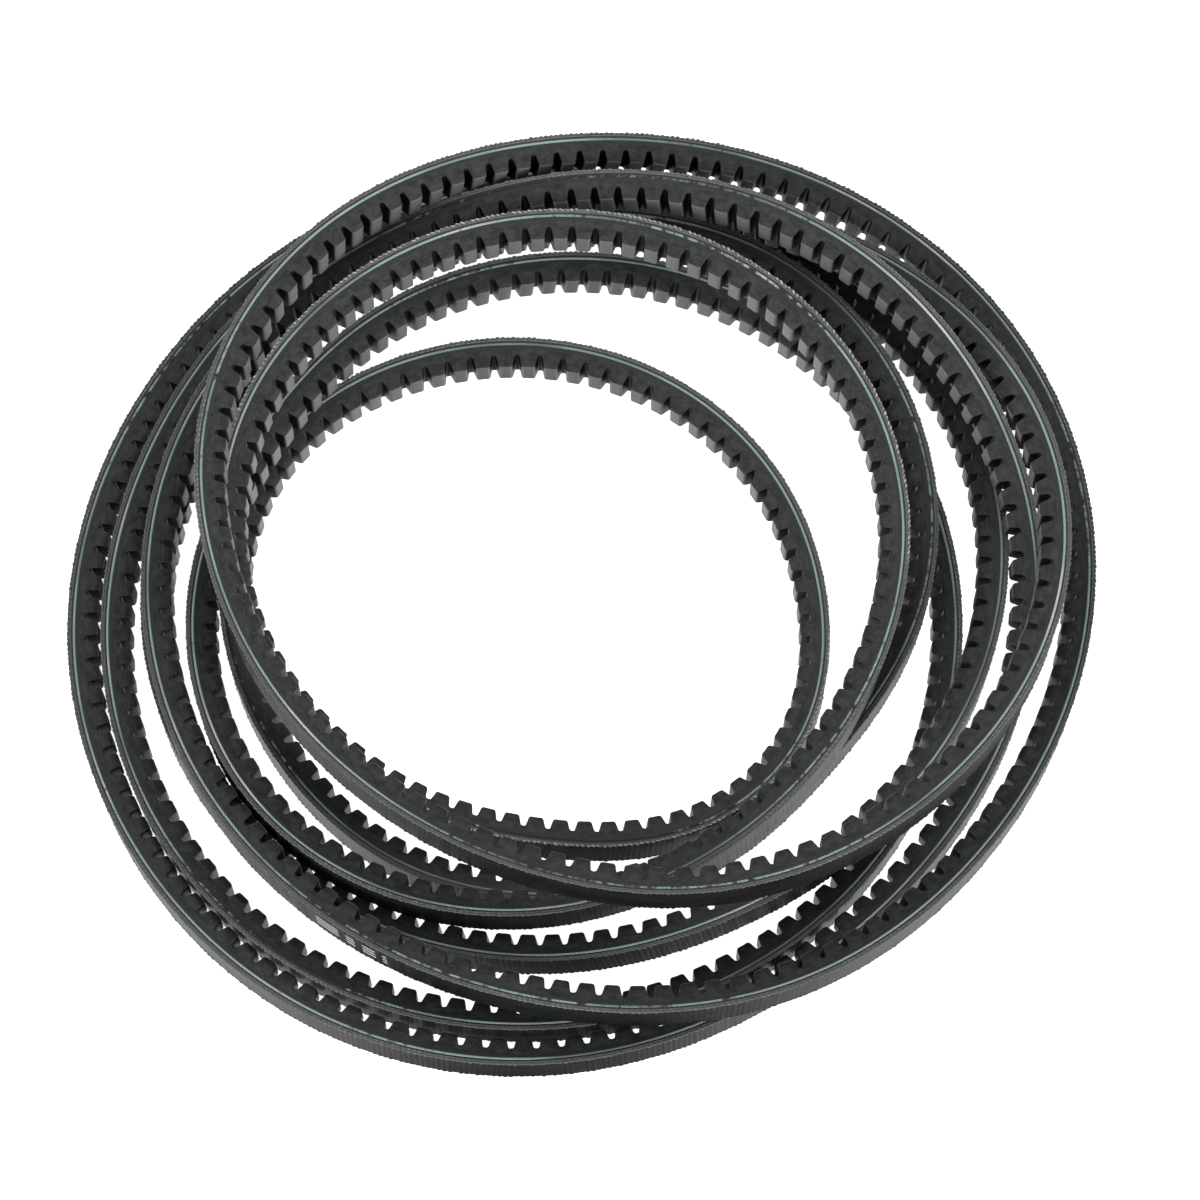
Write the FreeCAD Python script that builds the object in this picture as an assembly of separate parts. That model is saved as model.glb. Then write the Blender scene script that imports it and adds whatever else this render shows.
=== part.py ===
"""Raw-edge cogged V belt, endless, lying coiled on a flat surface.

The belt is built in bonded layers, from its back inwards: two plies of backing fabric, tie
rubber, tension cords, cushion rubber and the cogged compression rubber. Every layer follows one
closed route of eight turns, which climb over and under each other without touching.
Each layer is divided where the route passes the start of a turn. Millimetres, +Z up.
"""
import FreeCAD, Part
import math
import os

# Belt section: classical A profile
TOP_WIDTH = 13.0
THICKNESS = 8.0
WEDGE_ANGLE = 40.0
CORD_DEPTH = 1.7
BELT_COGS = 800
COG_TIP_SHARE = 0.58
NOTCH_FLOOR_SHARE = 0.20
COG_HEIGHT = 3.2

# Layers, from the back of the belt inwards: name and thickness
LAYERS = (
    ("outer_fabric_ply", 0.5),
    ("inner_fabric_ply", 0.5),
    ("tie_rubber", 0.3),
    ("tension_cords", 0.9),
    ("cushion_rubber", 0.8),
    ("cogged_rubber", 5.0),
)

# The lay of the coil. Twelve directions to a turn, from +X anticlockwise: the radius of the cord
# line from the coil's middle, and how far the strand is lifted off the surface.
DIRECTIONS = 12
TURNS = (
    ((145, 154.5, 148, 132.5, 121.5, 107.5, 90, 80.5, 78, 84.5, 101, 117.5),
     (0, 0, 10, 23, 34, 38, 38, 37, 35, 35, 35, 35)),
    ((136.5, 140.5, 130, 126, 128, 123, 124, 124, 121.5, 115.5, 112, 109.5),
     (33, 22, 13, 11, 7, 3, 0, 0, 0, 0, 0, 0)),
    ((108, 109, 109, 105, 99.5, 93.5, 99.5, 101, 96, 88.5, 83.5, 84),
     (0, 0, 1, 6, 11, 14, 13, 13, 14, 15, 17, 20)),
    ((91, 100.5, 107, 109.5, 105, 99, 89, 77, 69, 65, 72.5, 76),
     (22, 23, 24, 25, 27, 28, 24, 17, 9, 3, 0, 0)),
    ((71, 71, 74, 79.5, 87, 96, 92, 85, 84, 80, 82, 82),
     (0, 0, 0, 0, 0, 0, 0, 0, 0, 0, 2, 6)),
    ((99.5, 111, 121, 118, 119, 115, 114, 108, 101.5, 99, 99, 108.5),
     (11, 15, 12, 7, 3, 0, 0, 0, 2, 6, 12, 15)),
    ((119.5, 130, 129, 136.5, 136, 132.5, 133.5, 132, 130.5, 125.5, 119, 121.5),
     (9, 2, 0, 0, 0, 0, 0, 0, 0, 0, 0, 3)),
    ((131, 128.5, 125, 121, 116.5, 116, 111, 108.5, 108, 113, 126, 132),
     (13, 26, 31, 23, 16, 14, 13, 14, 15, 16, 15, 8)),
)
RADII = [radius for radii, lifts in TURNS for radius in radii]
LIFTS = [lift for radii, lifts in TURNS for lift in lifts]
SPANS = len(RADII)
SAMPLES_PER_SPAN = 48
COGS_PER_STATION = 2

WEDGE_SLOPE = math.tan(math.radians(WEDGE_ANGLE / 2))
UP = FreeCAD.Vector(0, 0, 1)


def blend(values, position):
    """Uniform cubic B-spline through a closed list of values."""
    index = int(math.floor(position))
    t = position - index
    weights = ((1 - t) ** 3, 3 * t ** 3 - 6 * t ** 2 + 4, -3 * t ** 3 + 3 * t ** 2 + 3 * t + 1, t ** 3)
    return sum(weight * values[(index + k - 1) % SPANS] for k, weight in enumerate(weights)) / 6


def route(position):
    """Point of the cord line, halfway across the belt, at a position in spans."""
    angle = 2 * math.pi * position / DIRECTIONS
    radius = blend(RADII, position)
    return FreeCAD.Vector(radius * math.cos(angle), radius * math.sin(angle), blend(LIFTS, position))


def measure_route():
    """Positions and running lengths along the whole closed route."""
    positions = [i / SAMPLES_PER_SPAN for i in range(SPANS * SAMPLES_PER_SPAN + 1)]
    points = [route(position) for position in positions]
    lengths = [0.0]
    for before, after in zip(points, points[1:]):
        lengths.append(lengths[-1] + before.distanceToPoint(after))
    return positions, lengths


POSITIONS, LENGTHS = measure_route()
BELT_LENGTH = LENGTHS[-1]
PITCH = BELT_LENGTH / BELT_COGS


def position_at(length):
    """Position in spans at a running length."""
    low, high = 0, len(LENGTHS) - 1
    while high - low > 1:
        middle = (low + high) // 2
        if LENGTHS[middle] <= length:
            low = middle
        else:
            high = middle
    share = (length - LENGTHS[low]) / (LENGTHS[high] - LENGTHS[low])
    return POSITIONS[low] + share * (POSITIONS[high] - POSITIONS[low])


def half_width(depth):
    """Half the belt's width at a depth below its back."""
    return TOP_WIDTH / 2 - depth * WEDGE_SLOPE


def station(index):
    """Cord line point, outward normal and width direction at a station of the route."""
    step = 0.05
    position = position_at(index * COGS_PER_STATION * PITCH % BELT_LENGTH)
    centre = route(position)
    along = (route(position + step) - route(position - step)).normalize()
    outward = along.cross(UP).normalize()
    across = outward.cross(along)
    return centre, outward, across


STATION_COUNT = BELT_COGS // COGS_PER_STATION
STATIONS = [station(index) for index in range(STATION_COUNT)]


def corner(index, depth, side):
    """Corner of the section at a station: depth below the back, side -1 lower or 1 upper."""
    centre, outward, across = STATIONS[index % STATION_COUNT]
    return centre + outward * (CORD_DEPTH - depth) + across * (side * half_width(depth))


def section(position, outer, inner):
    """Closed trapezoid of a layer, at a position in stations, from one depth to another."""
    index = int(math.floor(position + 1e-9))
    share = position - index
    points = []
    for depth, side in ((outer, -1), (outer, 1), (inner, 1), (inner, -1)):
        start = corner(index, depth, side)
        end = corner(index + 1, depth, side)
        points.append(start + (end - start) * share)
    return Part.makePolygon(points + points[:1]).translated(SHIFT)


def lowest_and_middle():
    """Lowest height of the belt and the middle of its plan outline."""
    corners = [corner(i, 0, side) for i in range(STATION_COUNT) for side in (-1, 1)]
    xs = [point.x for point in corners]
    ys = [point.y for point in corners]
    zs = [point.z for point in corners]
    return FreeCAD.Vector((min(xs) + max(xs)) / 2, (min(ys) + max(ys)) / 2, min(zs))


SHIFT = -lowest_and_middle()


def turn_limits():
    """First and last station of each turn."""
    starts = []
    for turn in range(len(TURNS)):
        length = LENGTHS[turn * DIRECTIONS * SAMPLES_PER_SPAN]
        starts.append(round(length / (COGS_PER_STATION * PITCH)))
    return list(zip(starts, starts[1:] + [STATION_COUNT]))


def plain_sections(first, last, outer, inner):
    """Sections of a layer of even thickness."""
    return [section(index, outer, inner) for index in range(first, last + 1)]


def cogged_sections(first, last, outer, inner):
    """Sections of the cogged layer: full depth at each cog, shallower at each notch."""
    root = inner - COG_HEIGHT
    slope_share = (1 - COG_TIP_SHARE - NOTCH_FLOOR_SHARE) / 2
    marks = (
        (COG_TIP_SHARE / 2, inner),
        (COG_TIP_SHARE / 2 + slope_share, root),
        (COG_TIP_SHARE / 2 + slope_share + NOTCH_FLOOR_SHARE, root),
        (1 - COG_TIP_SHARE / 2, inner),
    )
    sections = [section(first, outer, inner)]
    for cog in range((last - first) * COGS_PER_STATION):
        for share, depth in marks:
            sections.append(section(first + (cog + share) / COGS_PER_STATION, outer, depth))
        if (cog + 1) % COGS_PER_STATION == 0:
            sections.append(section(first + (cog + 1) / COGS_PER_STATION, outer, inner))
    return sections


def export(name, sections):
    """Ruled solid through the sections, written to its own file."""
    solid = Part.makeLoft(sections, True, True)
    if solid.Volume < 0:
        solid.reverse()
    solid.exportStep("parts/%s.step" % name)
    print(name, solid.isValid(), len(solid.Faces), round(solid.Volume))


def main():
    os.makedirs("parts", exist_ok=True)
    for turn, (first, last) in enumerate(turn_limits(), start=1):
        depth = 0.0
        for layer, thickness in LAYERS:
            make = cogged_sections if layer == "cogged_rubber" else plain_sections
            export("turn_%d_%s" % (turn, layer), make(first, last, depth, depth + thickness))
            depth += thickness
    print("belt length", round(BELT_LENGTH), "cog pitch", round(PITCH, 3))
    print("origin shift", SHIFT)


main()
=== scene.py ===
"""Looks of a raw-edge cogged V belt, lying coiled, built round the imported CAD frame.

Metres, +Z up. The belt's section and lay are given in millimetres, as in the part's source.
Each layer of each turn is one piece, which stands for the CAD node of the same layer and turn.
"""

import math

import bpy
import numpy as np
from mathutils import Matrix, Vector


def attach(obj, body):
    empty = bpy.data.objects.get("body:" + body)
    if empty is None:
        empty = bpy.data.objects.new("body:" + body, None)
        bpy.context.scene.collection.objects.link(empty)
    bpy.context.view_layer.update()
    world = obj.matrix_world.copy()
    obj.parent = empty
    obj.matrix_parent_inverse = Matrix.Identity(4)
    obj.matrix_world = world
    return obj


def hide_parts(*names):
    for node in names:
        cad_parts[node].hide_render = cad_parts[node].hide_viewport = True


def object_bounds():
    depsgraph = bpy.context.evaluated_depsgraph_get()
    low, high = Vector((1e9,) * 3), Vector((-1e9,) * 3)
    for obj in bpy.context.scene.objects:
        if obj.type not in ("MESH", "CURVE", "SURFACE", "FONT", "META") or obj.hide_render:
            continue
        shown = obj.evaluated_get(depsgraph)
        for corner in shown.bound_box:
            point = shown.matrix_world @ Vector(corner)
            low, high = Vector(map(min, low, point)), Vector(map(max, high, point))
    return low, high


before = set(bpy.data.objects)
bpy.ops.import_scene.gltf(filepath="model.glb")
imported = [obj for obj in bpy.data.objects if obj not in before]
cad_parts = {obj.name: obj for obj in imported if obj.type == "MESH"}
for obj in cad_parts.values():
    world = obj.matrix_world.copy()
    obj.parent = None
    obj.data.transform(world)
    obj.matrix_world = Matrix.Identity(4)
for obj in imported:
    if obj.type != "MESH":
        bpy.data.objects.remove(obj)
cad_box = [list(corner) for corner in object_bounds()]
MM = 0.001

# Belt section: classical A profile
TOP_WIDTH = 13.0
THICKNESS = 8.0
WEDGE_ANGLE = 40.0
CORD_DEPTH = 1.7
BELT_COGS = 800
COG_TIP_SHARE = 0.58
NOTCH_FLOOR_SHARE = 0.20
COG_HEIGHT = 3.2
PLY_THICKNESS = 0.5
CORD_DIAMETER = 0.86
CORD_COUNT = 9
CUSHION_DEPTH = 3.0

# Looks of the section: rounded cog corners, the cloth's threads and how far their cut ends reach,
# and the angle up to which faces shade smooth
TIP_ROUNDING = 0.85
ROOT_ROUNDING = 0.65
THREAD_PITCH = 1.45
THREAD_STEPS = 4
OUTER_REACH = 0.5
INNER_REACH = 0.22
SMOOTH_LIMIT = 34.0

# The lay of the coil: twelve directions to a turn, radius of the cord line and lift
DIRECTIONS = 12
TURNS = (
    ((145, 154.5, 148, 132.5, 121.5, 107.5, 90, 80.5, 78, 84.5, 101, 117.5),
     (0, 0, 10, 23, 34, 38, 38, 37, 35, 35, 35, 35)),
    ((136.5, 140.5, 130, 126, 128, 123, 124, 124, 121.5, 115.5, 112, 109.5),
     (33, 22, 13, 11, 7, 3, 0, 0, 0, 0, 0, 0)),
    ((108, 109, 109, 105, 99.5, 93.5, 99.5, 101, 96, 88.5, 83.5, 84),
     (0, 0, 1, 6, 11, 14, 13, 13, 14, 15, 17, 20)),
    ((91, 100.5, 107, 109.5, 105, 99, 89, 77, 69, 65, 72.5, 76),
     (22, 23, 24, 25, 27, 28, 24, 17, 9, 3, 0, 0)),
    ((71, 71, 74, 79.5, 87, 96, 92, 85, 84, 80, 82, 82),
     (0, 0, 0, 0, 0, 0, 0, 0, 0, 0, 2, 6)),
    ((99.5, 111, 121, 118, 119, 115, 114, 108, 101.5, 99, 99, 108.5),
     (11, 15, 12, 7, 3, 0, 0, 0, 2, 6, 12, 15)),
    ((119.5, 130, 129, 136.5, 136, 132.5, 133.5, 132, 130.5, 125.5, 119, 121.5),
     (9, 2, 0, 0, 0, 0, 0, 0, 0, 0, 0, 3)),
    ((131, 128.5, 125, 121, 116.5, 116, 111, 108.5, 108, 113, 126, 132),
     (13, 26, 31, 23, 16, 14, 13, 14, 15, 16, 15, 8)),
)
RADII = np.array([radius for radii, lifts in TURNS for radius in radii])
LIFTS = np.array([lift for radii, lifts in TURNS for lift in lifts])
SPANS = len(RADII)
SAMPLES_PER_SPAN = 48
COGS_PER_STATION = 2
WEDGE_SLOPE = math.tan(math.radians(WEDGE_ANGLE / 2))
UP = np.array((0.0, 0.0, 1.0))


# ---- the route of the cord line -------------------------------------------------------------

def blend(values, position):
    """Uniform cubic B-spline through a closed list of values."""
    index = np.floor(position).astype(int)
    t = position - index
    weights = ((1 - t) ** 3, 3 * t ** 3 - 6 * t ** 2 + 4, -3 * t ** 3 + 3 * t ** 2 + 3 * t + 1, t ** 3)
    return sum(weight * values[(index + k - 1) % SPANS] for k, weight in enumerate(weights)) / 6


def route(position):
    """Points of the cord line, halfway across the belt, at positions in spans."""
    angle = 2 * math.pi * position / DIRECTIONS
    radius = blend(RADII, position)
    return np.stack((radius * np.cos(angle), radius * np.sin(angle), blend(LIFTS, position)), -1)


POSITIONS = np.arange(SPANS * SAMPLES_PER_SPAN + 1) / SAMPLES_PER_SPAN
STEPS = np.linalg.norm(np.diff(route(POSITIONS), axis=0), axis=1)
LENGTHS = np.concatenate(((0.0,), np.cumsum(STEPS)))
BELT_LENGTH = LENGTHS[-1]
PITCH = BELT_LENGTH / BELT_COGS


def unit(vectors):
    """Vectors scaled to length one."""
    return vectors / np.linalg.norm(vectors, axis=-1, keepdims=True)


def lay(length, across, depth):
    """Points in space for running length, distance across the belt and depth below its back."""
    step = 0.05
    position = np.interp(length % BELT_LENGTH, LENGTHS, POSITIONS)
    centre = route(position)
    along = unit(route(position + step) - route(position - step))
    outward = unit(np.cross(along, UP))
    sideways = np.cross(outward, along)
    return centre + outward * (CORD_DEPTH - depth)[..., None] + sideways * across[..., None]


def half_width(depth):
    """Half the belt's width at a depth below its back."""
    return TOP_WIDTH / 2 - depth * WEDGE_SLOPE


def frame_shift():
    """Moves the lay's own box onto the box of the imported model."""
    station = np.arange(BELT_COGS // COGS_PER_STATION) * COGS_PER_STATION * PITCH
    flat = np.zeros_like(station)
    edges = np.concatenate([lay(station, flat + side * TOP_WIDTH / 2, flat) for side in (-1, 1)])
    low, high = edges.min(axis=0), edges.max(axis=0)
    middle = (np.array(cad_box[0]) + np.array(cad_box[1])) / 2 / MM - (low + high) / 2
    return np.array((middle[0], middle[1], cad_box[0][2] / MM - low[2]))


SHIFT = frame_shift()


def turn_lengths(turn):
    """Running lengths at which a turn's pieces start and end, on whole stations."""
    station = COGS_PER_STATION * PITCH
    ends = [LENGTHS[(turn + k) * DIRECTIONS * SAMPLES_PER_SPAN] for k in (0, 1)]
    return [round(end / station) * station for end in ends]


# ---- meshes ---------------------------------------------------------------------------------

def solid(name, length, across, depth, materials, columns):
    """Closed mesh through rings of points: rows follow the belt, columns go round the section.

    columns gives the material index of the strip from each column to the next one.
    """
    rows, ring = across.shape
    length = np.broadcast_to(length[:, None], across.shape)
    points = (lay(length, across, depth) + SHIFT) * MM
    corner = np.arange(rows * ring).reshape(rows, ring)
    following = np.roll(corner, -1, axis=1)
    quads = np.stack((corner[:-1], following[:-1], following[1:], corner[1:]), -1).reshape(-1, 4)
    caps = [corner[0, ::-1].tolist(), corner[-1].tolist()]
    mesh = bpy.data.meshes.new(name)
    mesh.from_pydata(points.reshape(-1, 3).tolist(), [], quads.tolist() + caps)
    for material in materials:
        mesh.materials.append(material)
    indices = np.concatenate((np.tile(columns, rows - 1), (0, 0))).astype(np.int32)
    mesh.polygons.foreach_set("material_index", indices)
    mesh.shade_smooth()
    mesh.set_sharp_from_angle(angle=math.radians(SMOOTH_LIMIT))
    place = mesh.attributes.new("belt_place", "FLOAT_VECTOR", "POINT")
    place.data.foreach_set("vector", np.stack((length, across, depth), -1).ravel())
    mesh.update()
    piece = bpy.data.objects.new(name, mesh)
    bpy.context.collection.objects.link(piece)
    return piece


def stand_for(piece, slot, *nodes):
    """Rides the piece on the one body and lets it stand for its CAD nodes."""
    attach(piece, "root")
    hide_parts(*nodes)


def evenly(first, last, spacing):
    """Running lengths from first to last, close to a spacing."""
    count = max(1, round((last - first) / spacing))
    return first + (last - first) * np.arange(count + 1) / count


def ripple(length, pitch, seed):
    """A row of rounded bumps along the belt, each of its own height, from 0 to about 1."""
    lowest = 0.45
    bluntness = 0.6
    heights = np.random.default_rng(seed).uniform(lowest, 1.0, int(BELT_LENGTH / pitch) + 2)
    bump = np.floor(length / pitch).astype(int)
    return heights[bump] * np.abs(np.sin(math.pi * length / pitch)) ** bluntness


# ---- layers ---------------------------------------------------------------------------------

def fabric_ply(name, first, last, outer, phase, reach, seed, materials):
    """One ply of backing cloth: flat across, with cut thread ends that stand out at its edges."""
    length = evenly(first, last, THREAD_PITCH / THREAD_STEPS)
    inner = outer + PLY_THICKNESS
    rounding = 0.14
    sunk = 0.3
    # distance in from the edge, depth in the ply, how far thread ends push it sideways and outwards
    edge = (
        (1.1, 0.0, 0.0, 0.0),
        (0.25, 0.0, 0.0, 0.75),
        (0.0, rounding, 0.9, 0.9),
        (0.0, PLY_THICKNESS / 2, 1.0, 0.3),
        (0.0, PLY_THICKNESS, 0.3, 0.0),
    )
    columns = []
    for side in (-1, 1):
        stand = reach * (ripple(length + phase, THREAD_PITCH, seed + side) - sunk)
        rows = []
        for inset, down, sideways, outwards in edge:
            width = half_width(outer + down) - inset + sideways * stand
            rows.append((side * width, outer + down - outwards * stand))
        columns.append(rows if side < 0 else rows[::-1])
    ordered = columns[0] + columns[1]
    across = np.stack([row[0] for row in ordered], -1)
    depth = np.stack([row[1] for row in ordered], -1)
    kinds = (0, 1, 1, 1, 0, 1, 1, 1, 0, 0)
    return solid(name, length, across, depth, materials, kinds)


def plain_layer(name, first, last, outer, inner, spacing, material):
    """A layer of even thickness with cut flanks."""
    length = evenly(first, last, spacing)
    corners = ((-1, outer), (-1, inner), (1, inner), (1, outer))
    across = np.stack([side * half_width(depth) + 0 * length for side, depth in corners], -1)
    depth = np.stack([depth + 0 * length for side, depth in corners], -1)
    return solid(name, length, across, depth, [material], (0, 0, 0, 0))


def cog_outline():
    """Half a pitch of the cogged side, from a cog's middle to the notch's middle: (length, depth)."""
    root = THICKNESS - COG_HEIGHT
    tip_end = COG_TIP_SHARE / 2 * PITCH
    root_start = (1 - NOTCH_FLOOR_SHARE) / 2 * PITCH
    slope = math.atan2(COG_HEIGHT, root_start - tip_end)
    outline = [(0.0, THICKNESS)]
    angles = [slope * k / 4 for k in range(5)]
    tangent = TIP_ROUNDING * math.tan(slope / 2)
    for angle in angles:
        outline.append((tip_end - tangent + TIP_ROUNDING * math.sin(angle),
                        THICKNESS - TIP_ROUNDING * (1 - math.cos(angle))))
    tangent = ROOT_ROUNDING * math.tan(slope / 2)
    for angle in angles:
        outline.append((root_start + tangent - ROOT_ROUNDING * math.sin(slope - angle),
                        root + ROOT_ROUNDING * (1 - math.cos(slope - angle))))
    outline.append((PITCH / 2, root))
    return outline


def cogged_layer(name, first, last, materials, seed):
    """The compression rubber: ground flanks, moulded cogs with rounded tips and roots."""
    half = cog_outline()
    pitch = half + [(PITCH - length, depth) for length, depth in half[-2:0:-1]]
    cogs = round((last - first) / PITCH)
    length = np.array([first + cog * PITCH + x for cog in range(cogs) for x, deep in pitch] + [last])
    inner = np.array([deep for cog in range(cogs) for x, deep in pitch] + [THICKNESS])
    unevenness = 0.035
    least_chamfer = 0.14
    middle_place = 2.2
    wear = np.random.default_rng(seed).normal(0.0, unevenness, (len(length), 4))
    inner = inner + wear[:, 0] * 0.5
    columns = []
    for side in (-1, 1):
        chamfer = least_chamfer + np.abs(wear[:, 2 + side])
        deep = inner - chamfer
        for part in (0.0, 0.5, 1.0):
            depth = CUSHION_DEPTH + (deep - CUSHION_DEPTH) * part
            columns.append((side * half_width(depth), depth))
        columns.append((side * (half_width(inner) - chamfer * 0.7), inner))
    lower, upper = columns[:4], columns[4:]
    middle = [(0 * inner - middle_place, inner + wear[:, 2] * 0.6),
              (0 * inner + middle_place, inner + wear[:, 3] * 0.6)]
    ordered = lower + middle + upper[::-1]
    across = np.stack([row[0] for row in ordered], -1)
    depth = np.stack([row[1] for row in ordered], -1)
    kinds = (0, 0, 1, 1, 1, 1, 1, 0, 0, 0)
    return solid(name, length, across, depth, materials, kinds)


def cord(name, first, last, offset, spacing, sides, twist, material):
    """One twisted cord running along the belt at a distance across it."""
    length = evenly(first, last, spacing)
    angle = 2 * math.pi * np.arange(sides) / sides
    strands = 3
    lay_length = 3.6
    swirl = np.cos(strands * (angle[None, :] - 2 * math.pi * length[:, None] / lay_length))
    radius = CORD_DIAMETER / 2 * (1 + twist * swirl)
    across = offset + radius * np.cos(angle)
    depth = CORD_DEPTH + radius * np.sin(angle)
    return solid(name, length, across, depth, [material], np.zeros(sides, int))


def tension_cords(name, first, last, material):
    """The row of cords side by side; the outermost two stand out of the flanks and show there."""
    stand_out = 0.16
    reach = half_width(CORD_DEPTH) - CORD_DIAMETER / 2 + stand_out
    cords = []
    for k in range(CORD_COUNT):
        offset = reach * (2 * k / (CORD_COUNT - 1) - 1)
        shown = k in (0, CORD_COUNT - 1)
        spacing = 0.6 if shown else PITCH
        sides = 9 if shown else 6
        twist = 0.07 if shown else 0.0
        cords.append(cord("%s_%d" % (name, k), first, last, offset, spacing, sides, twist, material))
    return joined(name, cords)


def joined(name, pieces):
    """Several meshes as one piece."""
    with bpy.context.temp_override(active_object=pieces[0], selected_editable_objects=pieces):
        bpy.ops.object.join()
    pieces[0].name = name
    pieces[0].data.name = name
    return pieces[0]


# ---- materials ------------------------------------------------------------------------------

class Shader:
    """A Principled material with short calls for the nodes it is built from."""

    def __init__(self, name, roughness, specular=0.5):
        self.material = bpy.data.materials.new(name)
        self.material.use_nodes = True
        self.tree = self.material.node_tree
        self.surface = self.tree.nodes["Principled BSDF"]
        self.surface.inputs["Roughness"].default_value = roughness
        self.surface.inputs["Specular IOR Level"].default_value = specular
        self.place = self.node("ShaderNodeAttribute", attribute_name="belt_place").outputs["Vector"]

    def node(self, kind, **settings):
        """A node with its settings."""
        made = self.tree.nodes.new(kind)
        for key, value in settings.items():
            setattr(made, key, value)
        return made

    def feed(self, socket, value):
        """Links an output to a socket, or sets its value."""
        if isinstance(value, bpy.types.NodeSocket):
            self.tree.links.new(value, socket)
        else:
            socket.default_value = value

    def scaled(self, scale, shift=(0, 0, 0)):
        """The place on the belt, in millimetres along, across and deep, scaled and shifted."""
        mapping = self.node("ShaderNodeMapping")
        self.feed(mapping.inputs["Vector"], self.place)
        mapping.inputs["Scale"].default_value = scale
        mapping.inputs["Location"].default_value = shift
        return mapping.outputs["Vector"]

    def noise(self, scale, detail=3.0, roughness=0.6, shift=(0, 0, 0)):
        """Noise from 0 to 1; scale is in features per millimetre along, across and deep."""
        made = self.node("ShaderNodeTexNoise")
        self.feed(made.inputs["Vector"], self.scaled(scale, shift))
        made.inputs["Scale"].default_value = 1.0
        made.inputs["Detail"].default_value = detail
        made.inputs["Roughness"].default_value = roughness
        return made.outputs["Fac"]

    def sums(self, operation, first, second=0.0, third=0.0):
        """A math node."""
        made = self.node("ShaderNodeMath", operation=operation)
        for socket, value in zip(made.inputs, (first, second, third)):
            self.feed(socket, value)
        return made.outputs[0]

    def between(self, value, low, high, start=0.0, end=1.0):
        """Maps low to high onto start to end, clamped, with a smooth step."""
        made = self.node("ShaderNodeMapRange", interpolation_type="SMOOTHSTEP")
        for key, number in zip(("Value", "From Min", "From Max", "To Min", "To Max"),
                               (value, low, high, start, end)):
            self.feed(made.inputs[key], number)
        return made.outputs["Result"]

    def mixed(self, share, first, second):
        """Colour from first to second by a share."""
        made = self.node("ShaderNodeMix", data_type="RGBA")
        colour = [socket for socket in made.inputs if socket.type == "RGBA"]
        self.feed(made.inputs["Factor"], share)
        self.feed(colour[0], first if not isinstance(first, tuple) else first + (1.0,))
        self.feed(colour[1], second if not isinstance(second, tuple) else second + (1.0,))
        return [socket for socket in made.outputs if socket.type == "RGBA"][0]

    def split(self):
        """The place on the belt as three numbers."""
        if not hasattr(self, "parts"):
            self.parts = self.node("ShaderNodeSeparateXYZ")
            self.feed(self.parts.inputs[0], self.place)
        return self.parts

    def finish(self, colour, height=None, bump=0.5, distance=0.05):
        """Colour and bump; the distance is in millimetres."""
        self.feed(self.surface.inputs["Base Color"], colour)
        if height is not None:
            made = self.node("ShaderNodeBump")
            made.inputs["Strength"].default_value = bump
            made.inputs["Distance"].default_value = distance * MM
            self.feed(made.inputs["Height"], height)
            self.feed(self.surface.inputs["Normal"], made.outputs["Normal"])
        return self.material


def ground_flank():
    """Cut and ground rubber edge: charcoal, matt, mottled, with faint lengthwise streaks."""
    shader = Shader("ground_flank", 0.58, 0.5)
    mottle = shader.noise((0.30, 0.45, 0.45), 5.0, 0.75)
    grain = shader.noise((4.0, 6.0, 6.0), 2.0, 0.7)
    streak = shader.noise((0.20, 4.0, 4.0), 3.0, 0.6)
    tone = shader.sums("MULTIPLY_ADD", streak, 0.35, shader.sums("MULTIPLY_ADD", grain, 0.25, mottle))
    colour = shader.mixed(shader.between(tone, 0.62, 0.98), (0.005, 0.0052, 0.0055), (0.038, 0.039, 0.040))
    height = shader.sums("ADD", grain, streak)
    return shader.finish(colour, height, 0.8, 0.06)


def moulded_rubber():
    """Moulded faces of cogs and notches: smoother, fine mould lines, grey dust in the notches, and a
    painted light grey on the cog tips that stands in for the light they catch.
    """
    shader = Shader("moulded_rubber", 0.46, 0.22)
    dust = shader.noise((1.5, 1.5, 1.5), 4.0, 0.8)
    lines = shader.noise((0.5, 4.0, 0.5), 2.0, 0.6)
    depth = shader.split().outputs[2]
    deep = shader.between(depth, 6.2, 4.9)
    share = shader.sums("MULTIPLY", deep, shader.between(dust, 0.54, 0.70))
    # Painted highlight: the cog tips are painted light grey for the light that falls on them, though the
    # rubber there is as black as in the notches.
    painted_tip_light = shader.between(depth, 7.2, 7.9)
    rubber = shader.mixed(painted_tip_light, (0.004, 0.004, 0.0045), (0.16, 0.16, 0.16))
    colour = shader.mixed(share, rubber, (0.085, 0.085, 0.082))
    return shader.finish(colour, shader.sums("ADD", dust, lines), 0.5, 0.05)


def cushion_rubber():
    """Rubber round the cords, cut at the flank: a little darker and smoother."""
    shader = Shader("cushion_rubber", 0.55, 0.5)
    mottle = shader.noise((0.35, 1.2, 1.2), 4.0, 0.7)
    grain = shader.noise((4.0, 6.0, 6.0), 2.0, 0.7)
    colour = shader.mixed(mottle, (0.007, 0.0072, 0.0075), (0.032, 0.033, 0.034))
    return shader.finish(colour, grain, 0.7, 0.05)


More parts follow.
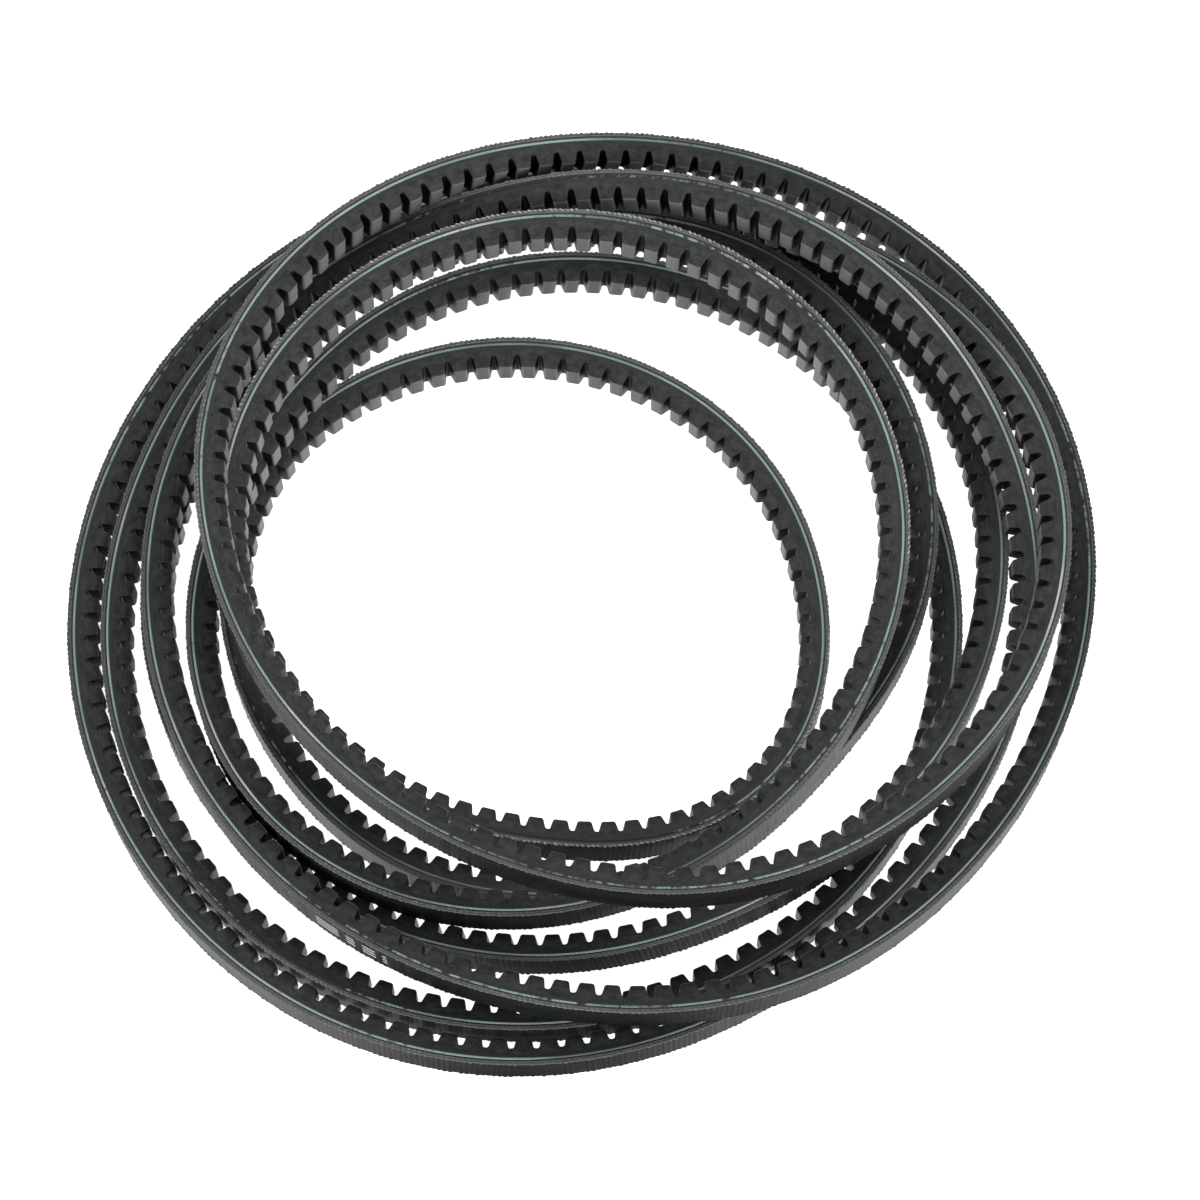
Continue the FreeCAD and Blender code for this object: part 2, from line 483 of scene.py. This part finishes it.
def backing_cloth():
    """Rubberised cloth on the belt's back: diagonal weave under rubber, fine lengthwise streaks."""
    shader = Shader("backing_cloth", 0.45, 0.18)
    parts = shader.split()
    weave = []
    for slope in (-1.0, 1.0):
        run = shader.sums("MULTIPLY_ADD", parts.outputs[1], slope, parts.outputs[0])
        weave.append(shader.sums("SINE", shader.sums("MULTIPLY", run, 2 * math.pi / THREAD_PITCH)))
    threads = shader.sums("MULTIPLY", weave[0], weave[1])
    streak = shader.noise((0.10, 2.5, 2.5), 3.0, 0.65)
    patch = shader.noise((0.03, 0.2, 0.2), 4.0, 0.7)
    tone = shader.sums("MULTIPLY_ADD", patch, 0.6, shader.sums("MULTIPLY", streak, 0.5))
    colour = shader.mixed(shader.between(tone, 0.4, 0.75), (0.004, 0.004, 0.0042), (0.024, 0.024, 0.0245))
    height = shader.sums("MULTIPLY_ADD", threads, 0.25, streak)
    return shader.finish(colour, height, 0.6, 0.08)


def cut_cloth(name, phase, pale, strong, coverage=0.5):
    """Cut edge of a cloth ply: dark rubbered threads, and pale ends where the cut is fresh.

    coverage is the share of the length where it is.
    """
    shader = Shader(name, 0.8, 0.3)
    parts = shader.split()
    run = shader.sums("MULTIPLY_ADD", parts.outputs[2], 1.2, parts.outputs[0])
    turn = shader.sums("MULTIPLY", shader.sums("ADD", run, phase), math.pi / THREAD_PITCH)
    thread = shader.sums("ABSOLUTE", shader.sums("SINE", turn))
    patch = shader.noise((0.009, 0.0, 0.0), 2.0, 0.5, (phase * 7, 0, 0))
    single = shader.noise((1.1, 0.6, 1.5), 2.0, 0.6)
    fresh = shader.between(patch, 1.0 - coverage, 1.16 - coverage)
    ends = shader.sums("MULTIPLY", shader.between(thread, 0.35, 0.9), shader.between(single, 0.38, 0.60))
    share = shader.sums("MULTIPLY", ends, shader.sums("MULTIPLY_ADD", fresh, strong, 0.14))
    grain = shader.noise((3.0, 3.0, 5.0), 3.0, 0.75)
    base = shader.mixed(grain, (0.035, 0.035, 0.035), (0.23, 0.232, 0.226))
    colour = shader.mixed(share, base, pale)
    return shader.finish(colour, shader.sums("ADD", grain, thread), 0.8, 0.1)


def cord_thread():
    """Cut tension cord: pale teal yarn, whiter in places, with rubber smeared over worn stretches."""
    shader = Shader("cord_thread", 0.6, 0.35)
    parts = shader.split()
    turn = shader.sums("MULTIPLY_ADD", parts.outputs[2], 2.2, parts.outputs[0])
    yarn = shader.sums("ABSOLUTE", shader.sums("SINE", shader.sums("MULTIPLY", turn, math.pi / 1.2)))
    tint = shader.noise((0.012, 0.0, 0.0), 3.0, 0.6)
    teal = shader.mixed(shader.between(tint, 0.38, 0.52), (0.15, 0.20, 0.23), (0.34, 0.46, 0.45))
    pale = shader.mixed(shader.between(tint, 0.55, 0.66), teal, (0.66, 0.68, 0.65))
    shaded = shader.mixed(shader.between(yarn, 0.0, 0.4), (0.045, 0.065, 0.07), pale)
    worn = shader.noise((0.006, 0.0, 0.0), 1.0, 0.5, (40, 0, 0))
    patch = shader.noise((0.5, 0.3, 0.3), 4.0, 0.7)
    smear = shader.between(shader.sums("MULTIPLY_ADD", worn, 2.4, patch), 1.82, 2.02)
    colour = shader.mixed(smear, shaded, (0.020, 0.021, 0.022))
    return shader.finish(colour, yarn, 0.6, 0.06)


def stamp_ink():
    """Worn white ink."""
    shader = Shader("stamp_ink", 0.6, 0.4)
    wear = shader.noise((3.0, 3.0, 3.0), 3.0, 0.7)
    return shader.finish(shader.mixed(wear, (0.55, 0.55, 0.54), (1.0, 1.0, 0.98)))


# ---- the belt -------------------------------------------------------------------------------

FRESH_TURN = 4


def build_turn(number, first, last, looks):
    """The six layers of one turn."""
    name = "turn_%d_" % number
    seed = 10 * number
    cut = looks["fresh" if number == FRESH_TURN else "outer"]
    outer = fabric_ply(name + "outer_ply", first, last, 0.0, 0.0, OUTER_REACH, seed, cut)
    stand_for(outer, "outer_fabric_ply", name + "outer_fabric_ply")
    inner = fabric_ply(name + "inner_ply", first, last, PLY_THICKNESS, THREAD_PITCH / 2,
                       INNER_REACH, seed + 3, looks["inner"])
    stand_for(inner, "inner_fabric_ply", name + "inner_fabric_ply")
    tie = plain_layer(name + "tie_layer", first, last, 2 * PLY_THICKNESS, CORD_DEPTH, PITCH / 4,
                      looks["cushion"])
    stand_for(tie, "tie_rubber", name + "tie_rubber")
    cords = tension_cords(name + "cords", first, last, looks["cord"])
    stand_for(cords, "tension_cords", name + "tension_cords")
    cushion = plain_layer(name + "cushion_layer", first, last, CORD_DEPTH, CUSHION_DEPTH, PITCH / 4,
                          looks["cushion"])
    stand_for(cushion, "cushion_rubber", name + "cushion_rubber")
    cogs = cogged_layer(name + "cogged_layer", first, last, looks["cogs"], seed + 7)
    stand_for(cogs, "cogged_rubber", name + "cogged_rubber")


def running_mark(material):
    """Plain printed bars along the belt's back, in three rows, on the last turn."""
    thickness = 0.02
    sunk = 0.01
    height = 0.9
    line_pitch = 2.4
    spacing = 0.4
    start_turn = len(TURNS) - 1
    start_degrees = 235.5
    start = LENGTHS[int((start_turn + start_degrees / 360) * DIRECTIONS * SAMPLES_PER_SPAN)]
    bars = []
    # where each bar begins after the first one, and its length
    for begin, length_along in ((0.0, 7.0), (9.5, 2.6), (14.5, 3.8), (20.5, 1.2)):
        for line in (-1, 0, 1):
            length = evenly(start + begin, start + begin + length_along, spacing)
            low = line * line_pitch - height / 2
            high = low + height
            corners = ((low, -thickness), (low, sunk), (high, sunk), (high, -thickness))
            across = np.stack([x + 0 * length for x, d in corners], -1)
            depth = np.stack([d + 0 * length for x, d in corners], -1)
            bars.append(solid("mark_%d" % len(bars), length, across, depth, [material], (0,) * 4))
    mark = joined("printed_bars", bars)
    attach(mark, "root")


def build_belt():
    """Every turn of the belt and its printed bars."""
    flank = ground_flank()
    cloth = backing_cloth()
    looks = {
        "outer": [cloth, cut_cloth("outer_cut_edge", 0.0, (0.26, 0.25, 0.23), 0.75)],
        "fresh": [cloth, cut_cloth("fresh_cut_edge", 0.0, (0.55, 0.52, 0.45), 0.85, 1.0)],
        "inner": [cloth, cut_cloth("inner_cut_edge", THREAD_PITCH / 2, (0.34, 0.33, 0.30), 0.85)],
        "cushion": cushion_rubber(),
        "cord": cord_thread(),
        "cogs": [flank, moulded_rubber()],
    }
    for turn in range(len(TURNS)):
        first, last = turn_lengths(turn)
        build_turn(turn + 1, first, last, looks)
    running_mark(stamp_ink())


# ---- studio ---------------------------------------------------------------------------------

# Camera, in millimetres; its target is measured in the lay's own coordinates
VIEW_ELEVATION = math.degrees(math.asin(0.93))
VIEW_WIDTH = 328.8
VIEW_DISTANCE = 950.0
VIEW_TARGET = np.array((10.96, 2.55, 13.4))
SENSOR = 36.0

# Floor, in metres: half its side, and how far it lies under the belt
FLOOR_REACH = 6.0
FLOOR_DROP = 0.0002


def studio_floor():
    """Plain white floor that the belt doesn't mirror."""
    mesh = bpy.data.meshes.new("studio_floor")
    sides = ((-1, -1), (1, -1), (1, 1), (-1, 1))
    corners = [(x * FLOOR_REACH, y * FLOOR_REACH, 0) for x, y in sides]
    mesh.from_pydata(corners, [], [(0, 1, 2, 3)])
    floor = bpy.data.objects.new("studio_floor", mesh)
    floor.location.z = -FLOOR_DROP
    bpy.context.collection.objects.link(floor)
    material = bpy.data.materials.new("studio_floor")
    material.use_nodes = True
    surface = material.node_tree.nodes["Principled BSDF"]
    surface.inputs["Base Color"].default_value = (0.9, 0.9, 0.9, 1.0)
    surface.inputs["Roughness"].default_value = 0.9
    surface.inputs["Specular IOR Level"].default_value = 0.1
    surface.inputs["Emission Color"].default_value = (1.0, 1.0, 1.0, 1.0)
    surface.inputs["Emission Strength"].default_value = 1.0
    mesh.materials.append(material)
    floor.visible_glossy = False
    floor.visible_diffuse = False


def soft_light(name, place, size, power):
    """Square area light that faces the coil."""
    data = bpy.data.lights.new(name, "AREA")
    data.size = size
    data.energy = power
    light = bpy.data.objects.new(name, data)
    light.location = place
    light.rotation_euler = (-Vector(place)).to_track_quat("-Z", "Y").to_euler()
    bpy.context.collection.objects.link(light)


# The room's light: where it fades in from the horizon and to the sides, and from what to what
HORIZON_FADE = (0.05, 0.6)
UPPER_STRENGTHS = (0.06, 0.30)
LOWER_SHARES = (0.1, 1.0)
SIDE_FADE = (0.10, 0.38)
SIDE_STRENGTHS = (0.06, 1.9)


def studio_room():
    """A dim room that lights the belt by direction.

    It brightens away from the horizon. Below, where the floor would throw light back, it is
    bright to the left and right, and dark in front and behind.
    """
    world = bpy.data.worlds.new("studio_world")
    bpy.context.scene.world = world
    world.use_nodes = True
    tree = world.node_tree
    direction = tree.nodes.new("ShaderNodeTexCoord")
    parts = tree.nodes.new("ShaderNodeSeparateXYZ")
    tree.links.new(direction.outputs["Generated"], parts.inputs[0])

    def calculated(operation, *values):
        """A math node on numbers and outputs."""
        made = tree.nodes.new("ShaderNodeMath")
        made.operation = operation
        for socket, value in zip(made.inputs, values):
            if isinstance(value, bpy.types.NodeSocket):
                tree.links.new(value, socket)
            else:
                socket.default_value = value
        return made.outputs[0]

    def faded(axis, start, end, low, high):
        """Low to high as the direction's share along an axis, either way, goes from start to end."""
        made = tree.nodes.new("ShaderNodeMapRange")
        for key, number in zip(("From Min", "From Max", "To Min", "To Max"), (start, end, low, high)):
            made.inputs[key].default_value = number
        tree.links.new(calculated("ABSOLUTE", parts.outputs[axis]), made.inputs["Value"])
        return made.outputs["Result"]

    above = calculated("GREATER_THAN", parts.outputs["Z"], 0.0)
    below = calculated("SUBTRACT", 1.0, above)
    upper = calculated("MULTIPLY", above, faded("Z", *HORIZON_FADE, *UPPER_STRENGTHS))
    lower = calculated("MULTIPLY", faded("Z", *HORIZON_FADE, *LOWER_SHARES),
                       faded("X", *SIDE_FADE, *SIDE_STRENGTHS))
    strength = calculated("ADD", upper, calculated("MULTIPLY", below, lower))
    tree.links.new(strength, tree.nodes["Background"].inputs["Strength"])
    tree.nodes["Background"].inputs["Color"].default_value = (1.0, 1.0, 1.0, 1.0)


# name, place in metres, size in metres and power in watts
SOFT_BOXES = (
    ("overhead_box", (0.0, 0.8, 1.5), 1.8, 14.0),
    ("left_box", (-1.6, -0.6, 0.6), 0.9, 18.0),
    ("right_box", (1.6, -0.6, 0.6), 0.9, 18.0),
    ("front_box", (0.0, -1.6, 0.6), 0.9, 11.0),
)


def studio_camera():
    """Telephoto camera looking down at the coil from the front."""
    data = bpy.data.cameras.new("studio_camera")
    data.sensor_width = SENSOR
    data.lens = SENSOR * VIEW_DISTANCE / VIEW_WIDTH
    data.clip_end = 100.0
    camera = bpy.data.objects.new("studio_camera", data)
    target = Vector(VIEW_TARGET + SHIFT * (1, 1, 0)) * MM
    tilt = math.radians(VIEW_ELEVATION)
    back = Vector((0.0, -math.cos(tilt), math.sin(tilt)))
    camera.location = target + back * VIEW_DISTANCE * MM
    camera.rotation_euler = (math.radians(90 - VIEW_ELEVATION), 0.0, 0.0)
    bpy.context.collection.objects.link(camera)
    bpy.context.scene.camera = camera


build_belt()
studio_floor()
studio_room()
for box in SOFT_BOXES:
    soft_light(*box)
studio_camera()
bpy.context.scene.view_settings.view_transform = "Standard"
